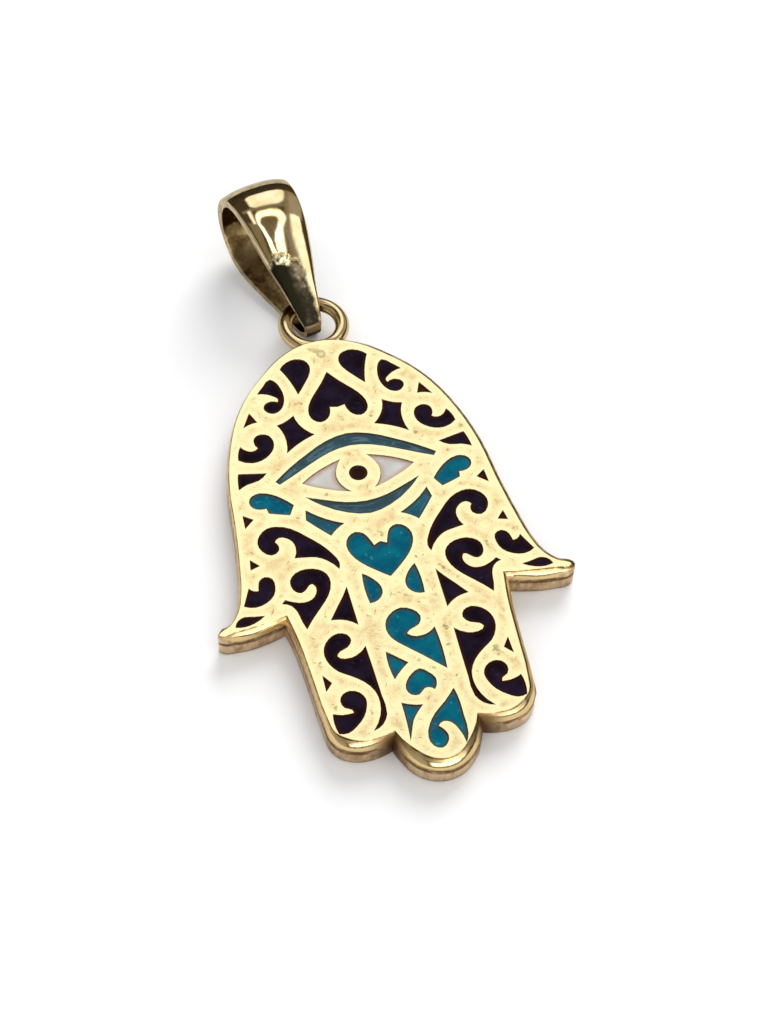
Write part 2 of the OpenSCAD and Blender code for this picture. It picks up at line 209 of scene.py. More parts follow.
def clouds(tree, place, scale, detail=3.0, roughness=0.5):
    """Cloudy noise on a piece's own coordinates. Scale is in patches per millimetre."""
    return add_node(
        tree, "ShaderNodeTexNoise", None, Vector=place, Scale=scale / MM, Detail=detail, Roughness=roughness
    ).outputs[0]


def streaks(tree, place, length, width, turn, shift=0.0):
    """Noise drawn out into streaks of a length and width in mm, turned by some degrees."""
    drawn = add_node(
        tree, "ShaderNodeMapping", {"vector_type": "TEXTURE"}, Vector=place, Location=(shift * MM, 0, 0),
        Rotation=(0, 0, math.radians(turn)), Scale=(length * MM, width * MM, width * MM)
    ).outputs[0]
    return add_node(tree, "ShaderNodeTexNoise", None, Vector=drawn, Scale=1.0, Detail=1.0).outputs[0]


def painted(tree, name):
    """A value that was painted on the points of a mesh."""
    return add_node(tree, "ShaderNodeAttribute", {"attribute_name": name}).outputs["Fac"]


def distance_along(tree, place, start, direction):
    """How far a point lies from a start along a direction, in mm."""
    step = add_node(tree, "ShaderNodeVectorMath", {"operation": "SUBTRACT"})
    tree.links.new(place, step.inputs[0])
    step.inputs[1].default_value = start
    dot = add_node(tree, "ShaderNodeVectorMath", {"operation": "DOT_PRODUCT"})
    tree.links.new(step.outputs[0], dot.inputs[0])
    dot.inputs[1].default_value = direction / MM
    return dot.outputs["Value"]


def height_above_table(tree, place):
    """How high a point lies above the table, in mm, with the bail at rest."""
    return distance_along(tree, place, Vector(), Vector((0, 0, 1)))


def bump(tree, shader, height, depth):
    """Turns a height into bumps of a depth in mm."""
    made = add_node(tree, "ShaderNodeBump", None, Strength=1.0, Distance=depth * MM, Height=height)
    tree.links.new(made.outputs[0], shader.inputs["Normal"])


def new_material(name):
    """An empty Principled material and its own coordinates."""
    material = bpy.data.materials.new(name)
    material.use_nodes = True
    tree = material.node_tree
    shader = tree.nodes["Principled BSDF"]
    place = tree.nodes.new("ShaderNodeTexCoord").outputs["Object"]
    return material, tree, shader, place


# %% [markdown]
# ## Cast gold
#
# The hand's gold is pale and brightest along the edges of the pockets, where the enamel was ground flush.
# The broader areas are duller and tan, with olive specks in small pits and short scratches. A small round
# dimple lies above the heart. The rounded rim is more orange. A brown line in the crease beside the face and a
# brown line at the rim's foot are painted shade, and a darker tan band below the crease is a painted
# reflection of the round rim. On the right side the rim's outer half is painted dark as shade, and so are the
# notches between the fingers. The ring is browner, and painted darkest as shade where it meets the bail. The
# distance from the nearest edge and the painted shade are painted on the mesh further down, and the height
# tells face from rim.

# %% Cast gold for the hand
FACE_PALE = (0.99, 0.90, 0.52)
FACE_TAN = (0.80, 0.60, 0.29)
PIT_OLIVE = (0.34, 0.28, 0.10)
RIM_GOLD = (0.97, 0.79, 0.43)
RIM_REFLECTED_TAN = (0.78, 0.56, 0.27)
# the colour of the painted shade on the rim, in the notches and on the ring by the bail
RIM_SHADE_BROWN = (0.19, 0.095, 0.035)
RING_GOLD = (0.88, 0.73, 0.43)
# Painted shade and a painted reflection band on the rim, in mm below the face: where each starts, is full, is
# fading and is gone.
CREASE_SHADE = (0.002, 0.010, 0.036, 0.062)
RIM_REFLECTION_BAND = (0.04, 0.06, 0.10, 0.15)
RIM_FOOT_SHADE = (0.39, 0.46, 0.54, 0.60)
NOTCH_SHADE_SHARE = 0.9  # how dark the painted shade in the notches between the fingers is
DIMPLE_AT = Vector((0.0, 7.17, 0.0)) * MM
hand_top = eye.y + 8.1 * MM  # only the ring lies beyond this


def distance_from(tree, place, centre):
    """How far a point lies from a centre, in mm, whatever its height."""
    step = add_node(tree, "ShaderNodeVectorMath", {"operation": "SUBTRACT"})
    tree.links.new(place, step.inputs[0])
    step.inputs[1].default_value = centre
    flat = add_node(tree, "ShaderNodeVectorMath", {"operation": "MULTIPLY"})
    tree.links.new(step.outputs[0], flat.inputs[0])
    flat.inputs[1].default_value = (1 / MM, 1 / MM, 0)
    length = add_node(tree, "ShaderNodeVectorMath", {"operation": "LENGTH"}, Vector=flat.outputs[0])
    return length.outputs["Value"]


def cast_gold():
    material, tree, shader, place = new_material("cast_gold")
    broad = ramp(tree, painted(tree, "from_edge"), 0.06, 0.36)
    patches = ramp(tree, clouds(tree, place, 0.8, 4.0, 0.62), 0.36, 0.64)
    grain = ramp(tree, clouds(tree, place, 2.6, 3.0, 0.6), 0.36, 0.66)
    dull = product(tree, maths(tree, "MULTIPLY_ADD", broad, 0.85, 0.08), maths(
        tree, "MULTIPLY_ADD", patches, 0.5, maths(tree, "MULTIPLY", grain, 0.5)
    ))
    face = mix_colours(tree, dull, FACE_PALE, FACE_TAN)

    pits = product(
        tree, ramp(tree, clouds(tree, place, 2.7, 2.0, 0.5), 0.62, 0.70),
        ramp(tree, clouds(tree, place, 0.55, 2.0, 0.5), 0.42, 0.58), broad
    )
    scratch = greatest(
        tree, ramp(tree, streaks(tree, place, 0.5, 0.11, 62), 0.68, 0.76),
        ramp(tree, streaks(tree, place, 0.45, 0.10, -38, 5.0), 0.69, 0.77)
    )
    from_dimple = distance_from(tree, place, eye + DIMPLE_AT)
    dimple = product(
        tree, ramp(tree, from_dimple, 0.27, 0.19), ramp(tree, from_dimple, 0.08, 0.18, 0.45, 1.0), 0.8
    )
    marks = greatest(tree, pits, product(tree, scratch, broad, 0.6), dimple)
    face = mix_colours(tree, maths(tree, "MULTIPLY", marks, 0.62), face, PIT_OLIVE)

    split = add_node(tree, "ShaderNodeSeparateXYZ", None, Vector=place)
    on_hand = ramp(tree, split.outputs[1], hand_top, hand_top - 0.2 * MM)
    below = maths(tree, "MULTIPLY_ADD", split.outputs[2], -1 / MM, face_z / MM)
    uneven = ramp(tree, clouds(tree, place, 2.2, 3.0, 0.6), 0.30, 0.60, 0.40, 0.95)
    # Painted reflection: a darker tan band on the rim just below the crease.
    reflected_band = product(tree, band(tree, below, *RIM_REFLECTION_BAND), uneven, on_hand)
    face = mix_colours(tree, ramp(tree, below, 0.0, 0.02), face, RIM_GOLD)
    face = mix_colours(tree, reflected_band, face, RIM_REFLECTED_TAN)
    # Painted shade: brown lines in the crease and at the rim's foot, the rim's right side and the notches.
    line_shade = greatest(tree, band(tree, below, *CREASE_SHADE), band(tree, below, *RIM_FOOT_SHADE))
    notches = product(
        tree, ramp(tree, below, 0.0, 0.05), ramp(tree, painted(tree, "notch"), 0.0, 0.9, 0.0, NOTCH_SHADE_SHARE)
    )
    painted_shade = product(
        tree, ramp(tree, painted(tree, "painted_shade"), 0.15, 0.7), maths(tree, "MULTIPLY_ADD", uneven, 0.5, 0.4)
    )
    rim_shade = product(tree, greatest(tree, product(tree, line_shade, uneven), painted_shade, notches), on_hand)
    on_ring = ramp(tree, split.outputs[1], hand_top, hand_top + 0.3 * MM)
    face = mix_colours(tree, on_ring, face, RING_GOLD)
    # Painted shade on the ring where it meets the bail.
    hinge_shade = product(tree, on_ring, ramp(tree, distance_from(tree, place, hinge_at), 1.45, 0.75), 0.85)
    face = mix_colours(tree, greatest(tree, rim_shade, hinge_shade), face, RIM_SHADE_BROWN)
    tree.links.new(face, shader.inputs["Base Color"])

    shader.inputs["Metallic"].default_value = 1.0
    rough = maths(tree, "MULTIPLY_ADD", dull, 0.10, 0.15)
    marks = greatest(tree, marks, reflected_band, rim_shade)
    tree.links.new(maths(tree, "MULTIPLY_ADD", marks, 0.20, rough), shader.inputs["Roughness"])
    relief = maths(tree, "MULTIPLY_ADD", marks, -1.0, maths(tree, "MULTIPLY", grain, 0.3))
    bump(tree, shader, relief, 0.004)
    return material


gold = cast_gold()
print("finish:", gold.name)

# %% [markdown]
# ## The walls as cast
#
# The plate's outer wall and the walls of its pockets were never ground or polished. They kept the skin of the
# mould: tan and rough, drawn out in short upright strokes. A brown line under the rim, the foot and the
# notches between the fingers are painted darker as painted shade.

# %% Raw gold for the walls
WALL_LIGHT = (1.0, 0.84, 0.60)
WALL_BROWN = (0.62, 0.43, 0.25)
WALL_SHADE = (0.17, 0.085, 0.03)
STROKE_SIZE = Vector((0.22, 0.22, 0.6)) * MM
SHADE_UNDER_RIM = (0.62, 0.74, 0.87, 0.90)  # mm above the table: starts, is full, is fading, is gone


def raw_gold():
    material, tree, shader, place = new_material("raw_gold")
    height = height_above_table(tree, place)
    brushed = add_node(
        tree, "ShaderNodeMapping", {"vector_type": "TEXTURE"}, Vector=place, Scale=STROKE_SIZE
    ).outputs[0]
    strokes = add_node(tree, "ShaderNodeTexNoise", None, Vector=brushed, Scale=1.0, Detail=3.0).outputs[0]
    tone = maths(tree, "MULTIPLY_ADD", strokes, 0.5, maths(
        tree, "MULTIPLY", clouds(tree, place, 1.3, 3.0, 0.6), 0.5
    ))
    colour = mix_colours(tree, ramp(tree, tone, 0.34, 0.62), WALL_BROWN, WALL_LIGHT)
    broken = ramp(tree, clouds(tree, place, 1.2, 3.0, 0.6), 0.32, 0.56, 0.35, 0.9)
    # Painted shade: a dark line under the rim, darker towards the foot, and dark notches.
    under_rim_shade = product(tree, band(tree, height, *SHADE_UNDER_RIM), broken)
    foot_shade = ramp(tree, height, 0.16, 0.02, 0.0, 0.7)
    notches = ramp(tree, painted(tree, "notch"), 0.0, 0.9, 0.0, NOTCH_SHADE_SHARE)
    painted_shade = greatest(tree, under_rim_shade, foot_shade, notches)
    tree.links.new(mix_colours(tree, painted_shade, colour, WALL_SHADE), shader.inputs["Base Color"])
    shader.inputs["Metallic"].default_value = 1.0
    shader.inputs["Roughness"].default_value = 0.40
    bump(tree, shader, tone, 0.03)
    return material


wall_gold = raw_gold()
print("finish:", wall_gold.name)

# %% [markdown]
# ## The bail's gold
#
# The bail was polished, so it mirrors the room in strong light and dark bands. A rough dark stain sits low on
# its front, and ends at the crest to the right facet. A paler line along the end of the lower bend is a
# painted highlight. Its inside was never polished: it is brown, with pits, and painted darker towards both
# bends as painted shade. Its narrow sides are paler and brushed. So it has three finishes.

# %% Three finishes for the bail
BAIL_TAN, BAIL_PALE = (0.84, 0.67, 0.34), (0.98, 0.86, 0.55)
BAIL_OLIVE = (0.40, 0.36, 0.23)  # on the upper bend
SOOT_DEEP, SOOT_WORN, SOOT_SPECK = (0.018, 0.016, 0.009), (0.31, 0.25, 0.16), (0.56, 0.48, 0.37)
TAIL_HIGHLIGHT_GOLD = (0.50, 0.39, 0.22)  # a painted highlight along the end of the lower bend
TAIL_HIGHLIGHT_BAND = (0.66, 0.76, 1.04, 1.14)  # mm above the table: starts, is full, is fading, is gone
# painted shade inside the loop, towards both bends
BEND_SHADE_BROWN = (0.030, 0.014, 0.005)
STAIN_GONE, STAIN_FULL = 1.02, 0.58  # mm along the bail from its hinge
CREST_GONE, CREST_FULL = 0.52, 0.28  # mm across the bail, where the stain ends at the right crest


def polished_gold():
    material, tree, shader, place = new_material("polished_gold")
    along = distance_along(tree, place, hinge_at, bail_along)
    across = distance_along(tree, place, hinge_at, bail_across)
    drift = maths(tree, "SUBTRACT", clouds(tree, place, 1.8, 3.0, 0.6), 0.5)
    lower = maths(tree, "ADD", along, ramp(tree, across, -0.15, -0.50, 0.0, -0.4))
    stain = product(
        tree, ramp(tree, maths(tree, "MULTIPLY_ADD", drift, 1.7, lower), STAIN_GONE, STAIN_FULL),
        ramp(tree, maths(tree, "MULTIPLY_ADD", drift, 0.5, across), CREST_GONE, CREST_FULL)
    )
    fine = clouds(tree, place, 3.2, 3.0, 0.55)
    shade = product(
        tree, ramp(tree, fine, 0.34, 0.62, 0.20, 1.0), ramp(tree, across, -0.45, 0.10),
        ramp(tree, along, -0.5, 0.6, 0.12, 1.0)
    )
    soot = mix_colours(tree, shade, SOOT_DEEP, SOOT_WORN)
    specks = product(
        tree, ramp(tree, fine, 0.56, 0.72), ramp(tree, across, -0.40, -0.10),
        ramp(tree, along, -0.6, 0.8, 0.15, 0.7)
    )
    soot = mix_colours(tree, specks, soot, SOOT_SPECK)
    height = height_above_table(tree, place)
    # Painted highlight: a paler line along the end of the lower bend.
    tail_highlight = product(tree, ramp(tree, along, -1.28, -1.36), band(tree, height, *TAIL_HIGHLIGHT_BAND), 0.75)
    soot = mix_colours(tree, tail_highlight, soot, TAIL_HIGHLIGHT_GOLD)
    tone = ramp(tree, clouds(tree, place, 0.9, 4.0, 0.6), 0.35, 0.65)
    bright = mix_colours(tree, tone, BAIL_TAN, BAIL_PALE)
    mottled = ramp(tree, fine, 0.40, 0.60, 0.35, 0.95)
    bright = mix_colours(tree, product(tree, ramp(tree, along, 4.1, 4.5), mottled), bright, BAIL_OLIVE)
    tree.links.new(mix_colours(tree, stain, bright, soot), shader.inputs["Base Color"])
    shader.inputs["Metallic"].default_value = 1.0
    tree.links.new(maths(tree, "MULTIPLY_ADD", stain, 0.40, 0.08), shader.inputs["Roughness"])
    relief = maths(tree, "MULTIPLY_ADD", product(tree, fine, stain), 1.2, clouds(tree, place, 0.9, 2.0, 0.5))
    bump(tree, shader, relief, 0.012)
    return material


def rough_gold(name, dark, light, roughness, depth, shaded_bends=False):
    """Rough gold in two tones. With shaded_bends, it is painted darker towards both bends of the bail, as
    painted shade.
    """
    material, tree, shader, place = new_material(name)
    coarse = clouds(tree, place, 1.3, 4.0, 0.6)
    fine = clouds(tree, place, 4.5, 2.0, 0.5)
    tone = maths(tree, "MULTIPLY_ADD", coarse, 0.75, maths(tree, "MULTIPLY", fine, 0.25))
    colour = mix_colours(tree, ramp(tree, tone, 0.36, 0.64), dark, light)
    if shaded_bends:
        along = distance_along(tree, place, hinge_at, bail_along)
        height = height_above_table(tree, place)
        # Painted shade: darker towards both bends, inside the loop.
        bends = greatest(tree, ramp(tree, height, 1.3, 2.0), ramp(tree, along, 0.2, -0.5))
        bends = product(tree, bends, ramp(tree, coarse, 0.74, 0.54, 0.3, 1.0))
        colour = mix_colours(tree, bends, colour, BEND_SHADE_BROWN)
    tree.links.new(colour, shader.inputs["Base Color"])
    shader.inputs["Metallic"].default_value = 1.0
    shader.inputs["Roughness"].default_value = roughness
    bump(tree, shader, tone, depth)
    return material


shiny = polished_gold()
inner_gold = rough_gold("inner_gold", (0.30, 0.18, 0.060), (0.90, 0.68, 0.32), 0.34, 0.02, shaded_bends=True)
side_gold = rough_gold("brushed_gold", (0.42, 0.35, 0.22), (0.82, 0.73, 0.51), 0.30, 0.01)
print("finishes:", shiny.name, inner_gold.name, side_gold.name)

# %% [markdown]
# ## Enamel
#
# Enamel is coloured glass. It is smooth and glossy, a little cloudy, and small bright grains of glass show in
# it. Towards its edges it is painted browner and darker: partly the wall of the pocket showing through the
# thinner glass, partly painted shade along the wall of the pocket. The brow and the lid are greyer than the
# other blue cells, with paler strokes that follow their edges. How far a point is from the edge and how tinted
# its cell is are painted on the mesh.

# %% Enamel in given colours
def strokes_along_edge(tree, place):
    """Noise drawn out into strokes that follow the edge of a cell, as the colour was laid in."""
    split = add_node(tree, "ShaderNodeSeparateXYZ", None, Vector=place)
    inward = maths(tree, "MULTIPLY", painted(tree, "from_edge"), 9.0)
    across = maths(tree, "MULTIPLY", split.outputs[0], 0.8 / MM)
    along = maths(tree, "MULTIPLY", split.outputs[1], 0.8 / MM)
    joined = add_node(tree, "ShaderNodeCombineXYZ", None, X=inward, Y=across, Z=along).outputs[0]
    return add_node(tree, "ShaderNodeTexNoise", None, Vector=joined, Scale=1.0, Detail=1.0).outputs[0]


def enamel(name, deep, light, edge, grain, grain_share, tinted=None, strokes=None, edge_width=0.14):
    material, tree, shader, place = new_material(name)
    colour = mix_colours(tree, ramp(tree, clouds(tree, place, 0.9, 4.0, 0.6), 0.35, 0.68), deep, light)
    if strokes:
        tinted = mix_colours(tree, ramp(tree, strokes_along_edge(tree, place), 0.48, 0.66), tinted, strokes)
    if tinted:
        colour = mix_colours(tree, painted(tree, "tint"), colour, tinted)
    grains = ramp(tree, clouds(tree, place, 4.5, 1.0, 0.4), 0.66, 0.78)
    colour = mix_colours(tree, maths(tree, "MULTIPLY", grains, grain_share), colour, grain)
    # Painted shade, partly the wall showing through: the colour turns to the edge colour near the pocket's
    # wall.
    drift = maths(tree, "MULTIPLY", clouds(tree, place, 2.2, 2.0, 0.5), 0.10)
    edge_shade = ramp(tree, maths(tree, "ADD", painted(tree, "from_edge"), drift), edge_width + 0.08, 0.07)
    tree.links.new(mix_colours(tree, edge_shade, colour, edge), shader.inputs["Base Color"])
    shader.inputs["Roughness"].default_value = 0.22
    shader.inputs["Specular IOR Level"].default_value = 0.04
    bump(tree, shader, clouds(tree, place, 1.3, 2.0, 0.5), 0.03)
    return material


dark_enamel = enamel(
    "dark_enamel", deep=(0.004, 0.001, 0.004), light=(0.012, 0.007, 0.020), edge=(0.030, 0.005, 0.003),
    grain=(0.035, 0.028, 0.055), grain_share=0.35, tinted=(0.050, 0.010, 0.005)
)
teal_enamel = enamel(
    "teal_enamel", deep=(0.000, 0.080, 0.135), light=(0.001, 0.135, 0.190), edge=(0.045, 0.070, 0.075),
    grain=(0.08, 0.34, 0.40), grain_share=0.35, tinted=(0.028, 0.062, 0.080), strokes=(0.075, 0.135, 0.165)
)
white_enamel = enamel(
    "white_enamel", deep=(0.50, 0.48, 0.44), light=(0.58, 0.59, 0.56), edge=(0.47, 0.35, 0.29),
    grain=(0.62, 0.62, 0.60), grain_share=0.5, edge_width=0.26
)
pupil_enamel = enamel(
    "pupil_enamel", deep=(0.014, 0.004, 0.003), light=(0.030, 0.010, 0.009), edge=(0.040, 0.012, 0.005),
    grain=(0.06, 0.04, 0.05), grain_share=0.4
)
print("enamels:", dark_enamel.name, teal_enamel.name, white_enamel.name, pupil_enamel.name)

# %% [markdown]
# ## Shaping a copy of a solid
#
# No edge on a real casting is perfectly sharp, and a small round edge catches a line of light. Each CAD
# solid is copied, its loose triangles are joined, flat areas are made one face each, and the sharp edges
# get a narrow bevel.

# %% Helpers: copy, join, bevel and shade
def copy_of(node, name, *finishes):
    """A copy of a CAD solid as a piece of its own, with its finishes."""
    mesh = nodes[node].data.copy()
    mesh.name = name
    mesh.materials.clear()
    for finish in finishes:
        mesh.materials.append(finish)
    piece = bpy.data.objects.new(name, mesh)
    scene.collection.objects.link(piece)
    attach(piece, nodes[node]["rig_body"])
    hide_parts(node)
    return piece


def open_mesh(piece):
    """The piece's mesh, ready for shaping, with doubled points merged and room for painted values."""
    work = bmesh.new()
    work.from_mesh(piece.data)
    for name in ("from_edge", "tint", "painted_shade", "notch"):
        work.verts.layers.float.new(name)
    bmesh.ops.remove_doubles(work, verts=work.verts, dist=0.0005 * MM)
    return work


def flatten(work):
    """Makes one face of each flat area."""
    bmesh.ops.dissolve_limit(
        work, angle_limit=math.radians(1.0), use_dissolve_boundaries=False, verts=work.verts, edges=work.edges
    )


def soften(work, width, least_angle, keep):
    """Bevels the edges that turn more than an angle, where keep says so."""
    edges = [
        e for e in work.edges
        if len(e.link_faces) == 2 and e.calc_face_angle(0) > math.radians(least_angle) and keep(e)
    ]
    bmesh.ops.bevel(
        work, geom=edges, offset=width, offset_type="OFFSET", segments=2, profile=0.5,
        affect="EDGES", material=-1, clamp_overlap=True
    )
    return len(edges)


def close_mesh(work, piece, sharp_angle, flat_faces=()):
    """Writes the shaped mesh back, smooth up to an angle and crisp round the flat faces."""
    flat = set(flat_faces)
    for face in work.faces:
        face.smooth = True
    for edge in work.edges:
        crisp = len({f in flat for f in edge.link_faces}) == 2
        edge.smooth = edge.calc_face_angle(0) < math.radians(sharp_angle) and not crisp
    work.to_mesh(piece.data)
    work.free()
    piece.data.update()
    print(piece.name, "has", len(piece.data.polygons), "faces")


# %% [markdown]
# ## Room for painted values
#
# A value painted on a mesh lives on its points, so a large flat face has to be cut into small ones first.
# A grid of cutting planes does this without changing the shape, as a baker cuts a tray of cake. Then each
# point is told how far it lies from the edge of the cut area.

# %% Helpers: slice flat faces and measure from their edge
SLICE = 0.14 * MM


def each_once(parts):
    """The parts in their order, each of them once."""
    return list(dict.fromkeys(parts))


def slice_faces(work, faces):
    """Cuts flat faces along a grid and returns the small ones."""
    parts = list(faces)
    parts += each_once(e for f in faces for e in f.edges) + each_once(v for f in faces for v in f.verts)
    places = [v.co.copy() for f in faces for v in f.verts]
    for way in (Vector((1, 0, 0)), Vector((0, 1, 0))):
        low = min(p.dot(way) for p in places)
        high = max(p.dot(way) for p in places)
        for k in range(1, math.ceil((high - low) / SLICE)):
            cut = bmesh.ops.bisect_plane(
                work, geom=parts, dist=0.001 * MM, plane_co=way * (low + k * SLICE), plane_no=way
            )
            parts = cut["geom"]
    return [p for p in parts if isinstance(p, bmesh.types.BMFace)]


def measure_from_edge(work, faces):
    """Paints on each point how far it is from the edge of the faces, in mm, and returns those values."""
    layer = work.verts.layers.float["from_edge"]
    own = set(faces)
    border = each_once(
        v for f in faces for e in f.edges if any(n not in own for n in e.link_faces) for v in e.verts
    )
    lookup = KDTree(len(border))
    for k, v in enumerate(border):
        lookup.insert(v.co, k)
    lookup.balance()
    found = {}
    for v in each_once(v for f in faces for v in f.verts):
        v[layer] = found[v] = lookup.find(v.co)[2] / MM
    return found


def islands(faces):
    """Groups faces that hang together."""
    left = set(faces)
    groups = []
    for start in faces:
        if start in left:
            left.remove(start)
            group = [start]
            for face in group:
                near = [n for n in each_once(n for e in face.edges for n in e.link_faces) if n in left]
                left.difference_update(near)
                group += near
            groups.append(group)
    return groups


# %% [markdown]
# ## The hand: where the rim and the notches are
#
# Upright faces get the raw finish, but not the ring, which was polished. The rim where it turns to the right
# and the wrist, and the notches between the fingers, get painted shade. So both are found on the solid first:
# the rim's inner edge lies at the face's height with a blunt angle, and a notch is an upright edge that points
# inwards.

# %% Find the rim's inner edge and the notches
hand = copy_of("hamsa_body", "hand_plate", gold, wall_gold)
work = open_mesh(hand)
flatten(work)


def at_height(edge, height):
    """Whether an edge lies level at a height."""
    return all(abs(v.co.z - height) < 0.002 * MM for v in edge.verts)


def is_notch(edge):
    """Whether an edge is the upright inner corner between two fingers."""
    first, second = (v.co for v in edge.verts)
    upright = abs(first.z - second.z) > 0.3 * MM and (first - second).xy.length < 0.01 * MM
    on_wall = all(v.co.y < hand_top and v.co.z < 0.9 * MM for v in edge.verts)
    return upright and on_wall and not edge.is_convex and edge.calc_face_angle(0) > math.radians(30)


for face in work.faces:
    raw = abs(face.normal.z) < 0.25 and face.calc_center_median().y < hand_top
    face.material_index = 1 if raw else 0

rim_points, notch_points = [], []  # places on the plan, each with a value
for edge in work.edges:
    first, second = (v.co for v in edge.verts)
    if at_height(edge, face_z) and 15 < math.degrees(edge.calc_face_angle(0)) < 55:
        outward = sum((f.normal for f in edge.link_faces), Vector()).xy.normalized()
        away = (outward.x + outward.y) * 0.8  # how much this rim turns to the right and the wrist
        steps = math.ceil((second - first).length / (0.05 * MM))
        rim_points += [(first.lerp(second, k / steps).xy, away) for k in range(steps)]
    elif is_notch(edge):
        notch_points.append((first.xy, 0.0))
print("notches from the eye in mm:", [[round(c / MM, 1) for c in p - eye.xy] for p, _ in notch_points])

# %% [markdown]
# ## The hand: edges, rim and painted values
#
# The pockets' mouths and the foot of the wall get a narrow bevel. The rim is already rounded in the solid,
# but the real one is a little fuller on its right side, at the wrist and at the right thumb, so the outer
# wall moves out there. The face between the pockets is cut up, so that its gold can be brighter along the
# edges.

# %% Helpers: near places and shares
def nearest(points):
    """A lookup that gives the distance in mm and the value of the nearest of some points on the plan."""
    tree = KDTree(len(points))
    for k, (place, _) in enumerate(points):
        tree.insert((place.x, place.y, 0), k)
    tree.balance()

    def ask(co):
        _, k, distance = tree.find((co.x, co.y, 0))
        return distance / MM, points[k][1]

    return ask


def share_of(value, none, full):
    """0 up to none, 1 from full on, and even between them."""
    return min(1.0, max(0.0, (value - none) / (full - none)))


# %% Dress the hand
RIM_SPREAD = 0.10  # mm, how much fuller the real rim is on its right side and at the wrist
THUMB_SPREAD = 0.15  # mm, and at the right thumb's end
NOTCH_SHADE_REACH = 1.3  # mm, how far the painted shade of a notch reaches
RIGHT_SHADE_FROM, RIGHT_SHADE_FULL = 0.10, 0.22  # mm from the rim's inner edge
THUMB_FROM, THUMB_END = 5.6, 8.0  # mm to the right of the eye

mouths = soften(work, 0.035 * MM, 60, lambda e: at_height(e, face_z))
feet = soften(work, 0.05 * MM, 60, lambda e: at_height(e, 0.0))
tops = [f for f in work.faces if f.normal.z > 0.999 and abs(f.calc_center_median().z - face_z) < 0.002 * MM]
tops = slice_faces(work, tops)
distances = measure_from_edge(work, tops)
print("edges rounded:", mouths, feet, "widest gold in mm:", round(2 * max(distances.values()), 2))

work.normal_update()
standing = [f for f in work.faces if abs(f.normal.z) < 0.999 and f.calc_center_median().y < hand_top]
outer = [group for group in islands(standing) if min(v.co.z for f in group for v in f.verts) < 0.1 * MM]
shell = {
    v: Vector((*v.normal.xy, 0)).normalized()
    for group in outer for f in group for v in f.verts if v.co.z < face_z - 0.01 * MM
}
painted_shade, notch = work.verts.layers.float["painted_shade"], work.verts.layers.float["notch"]
near_rim, near_notch = nearest(rim_points), nearest(notch_points)
# Painted shade: near the notches, and on the outer rim and wall where they turn to the right and the wrist.
for v in work.verts:
    v[notch] = max(0.0, 1 - near_notch(v.co)[0] / NOTCH_SHADE_REACH)
for v, outward in shell.items():
    distance, away = near_rim(v.co)
    turned = share_of(away, 0, 0.5)
    v[painted_shade] = share_of(distance, RIGHT_SHADE_FROM, RIGHT_SHADE_FULL) * turned
    thumb = share_of((v.co.x - eye.x) / MM, THUMB_FROM, THUMB_END) ** 2
    fade = share_of((hand_top - v.co.y) / MM, 0, 1)
    v.co += outward * max(RIM_SPREAD * turned * fade, THUMB_SPREAD * thumb) * MM
print("points of the outer wall:", len(shell))
close_mesh(work, hand, 38, tops)
weigh = hand.modifiers.new("flat faces stay flat", "WEIGHTED_NORMAL")
weigh.keep_sharp = True
weigh.weight = 80

# %% [markdown]
# ## The enamel
#
# Each filling keeps the shape of its solid. Its top is cut up like the face of the hand, so that its edge
# can be browner, and it dips a little, because glass shrinks as it cools and hangs on to the wall.

# %% Dress the enamel
DIP = 0.014  # mm, how far the middle of a filling dips
DIP_REACH = 0.12  # mm from the edge, over which most of the dip comes
WAVE = 0.004  # mm, how uneven it is
CHIP_AREA = 0.35 * MM * MM  # a dark cell smaller than this is a chip


def tint_share(node, group):
    """Small dark chips are reddest. The brow and the lid are greyest, the leaves beside the lid half so."""
    if node != "enamel_teal":
        return 1.0 if sum(f.calc_area() for f in group) < CHIP_AREA else 0.0
    xs = [v.co.x - eye.x for f in group for v in f.verts]
    ys = [v.co.y - eye.y for f in group for v in f.verts]
    if max(xs) - min(xs) > 5 * MM:
        return 1.0
    leaf = min(ys) > -3.2 * MM and max(ys) < 0 and abs(sum(xs) / len(xs)) < 4.2 * MM
    return 0.45 if leaf else 0.0


for node, name, finish, slot in (
    ("enamel_dark", "dark_fillings", dark_enamel, "dark_enamel"),
    ("enamel_teal", "teal_fillings", teal_enamel, "teal_enamel"),
    ("enamel_white", "eye_whites", white_enamel, "white_enamel"),
    ("pupil", "eye_pupil", pupil_enamel, "pupil_enamel"),
):
    filling = copy_of(node, name, finish)
    work = open_mesh(filling)
    flatten(work)
    tops = slice_faces(work, [f for f in work.faces if f.normal.z > 0.999])
    distances = measure_from_edge(work, tops)
    tint = work.verts.layers.float["tint"]
    for group in islands(tops):
        share = tint_share(node, group)
        for v in each_once(v for f in group for v in f.verts):
            v[tint] = share
    for v, d in distances.items():
        uneven = WAVE * cloud.noise(v.co / MM) * min(1.0, d / 0.1)
        v.co.z -= (DIP * (1 - math.exp(-d / DIP_REACH)) + uneven) * MM
    print(name, "cells:", len(islands(tops)))
    close_mesh(work, filling, 40)

# %% [markdown]
# ## The bail: inside, outside and sides
#
# The bail's solid is a loop of plain facets: a middle flat, a leaning facet on each side of it, two narrow
# sides and the inside. A ray that leaves an inside face meets the loop again, and that tells inside from
# outside. Each kind of face gets its own finish.

